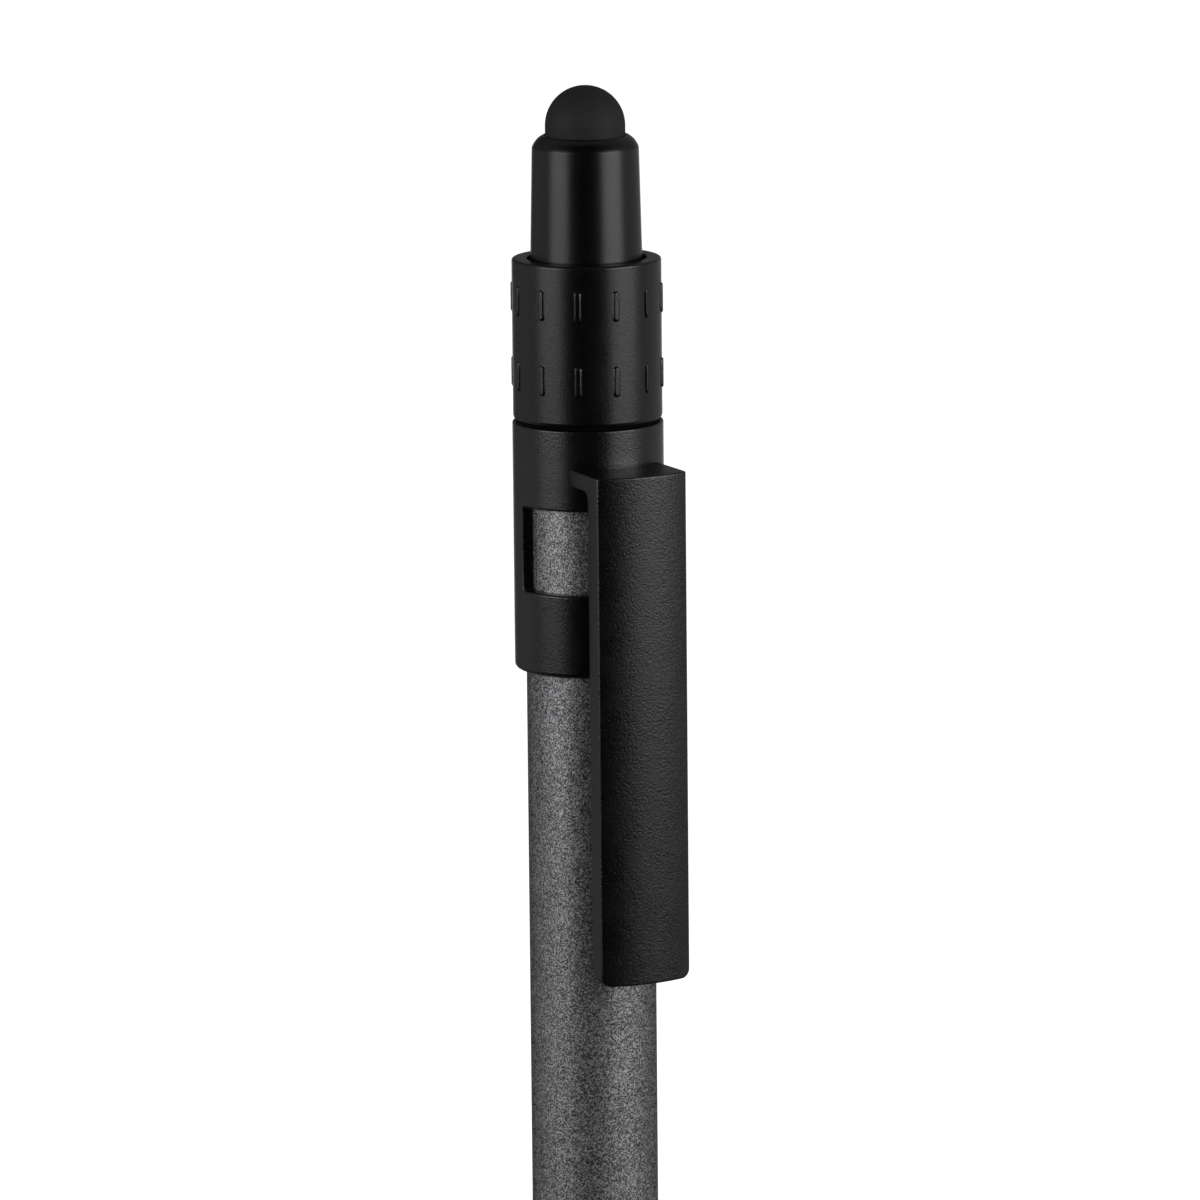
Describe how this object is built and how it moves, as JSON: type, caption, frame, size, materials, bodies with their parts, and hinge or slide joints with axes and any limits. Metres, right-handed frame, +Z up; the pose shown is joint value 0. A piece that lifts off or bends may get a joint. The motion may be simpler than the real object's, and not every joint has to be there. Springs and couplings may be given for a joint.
{
  "type": "stylus pen",
  "caption": "Slim black and grey twist-action ballpoint pen with a rubber stylus dome, ribbed twist ring and wide flat pocket clip.",
  "frame": {"origin": "middle of the pen's footprint, at the level of the writing ball's lowest point, with the writing point turned out", "axes": "+Z up along the pen to the stylus dome, -Y the way the clip faces, +X across the clip"},
  "size_m": [0.0134, 0.018, 0.1469],
  "materials": {
    "stylus_rubber": "matte",
    "seal_rubber": "matte",
    "collar_black": "satin gloss",
    "moulding_black": "fine matte",
    "pale_moulding": "natural moulded",
    "barrel_grey": "fine metallic grain",
    "bright_steel": "bright drawn",
    "point_brass": "turned",
    "refill_blue": "moulded"
  },
  "bodies": {
    "casing": {"barrel": "barrel_grey", "clip_sleeve": "moulding_black", "cam_housing": "pale_moulding", "housing_retainer": "bright_steel", "slip_washer": "moulding_black", "nose_insert": "point_brass", "nose_cone": "moulding_black"},
    "knob": {"twist_ring": "moulding_black", "knob_core": "moulding_black", "stylus_collar": "collar_black", "stylus_tip": "stylus_rubber", "tip_plug": "pale_moulding", "cam_rotor": "pale_moulding", "friction_oring": "seal_rubber"},
    "carriage": {"cam_slider": "pale_moulding", "cam_pin": "bright_steel", "refill_plug": "refill_blue", "refill_tube": "bright_steel", "refill_point": "point_brass", "return_spring": "bright_steel"},
    "writing_ball": {"refill_ball": "bright_steel"}
  },
  "joints": [
    {"name": "knob_twist", "type": "hinge", "parent": "casing", "child": "knob", "pos_m": [0, 0.00233, 0.1176], "axis": [0, 0, 1], "range_deg": [0, 180]},
    {"name": "refill_slide", "type": "slide", "parent": "casing", "child": "carriage", "axis": [0, 0, 1], "range_m": [0, 0.005], "deforming": ["return_spring"]},
    {"name": "ball_roll", "type": "hinge", "parent": "carriage", "child": "writing_ball", "pos_m": [0, 0.00233, 0.0005], "axis": [1, 0, 0], "continuous": true}
  ],
  "couplings": [
    {"joint": "knob_twist", "follows": "refill_slide", "rad_per_m": 628.3}
  ]
}
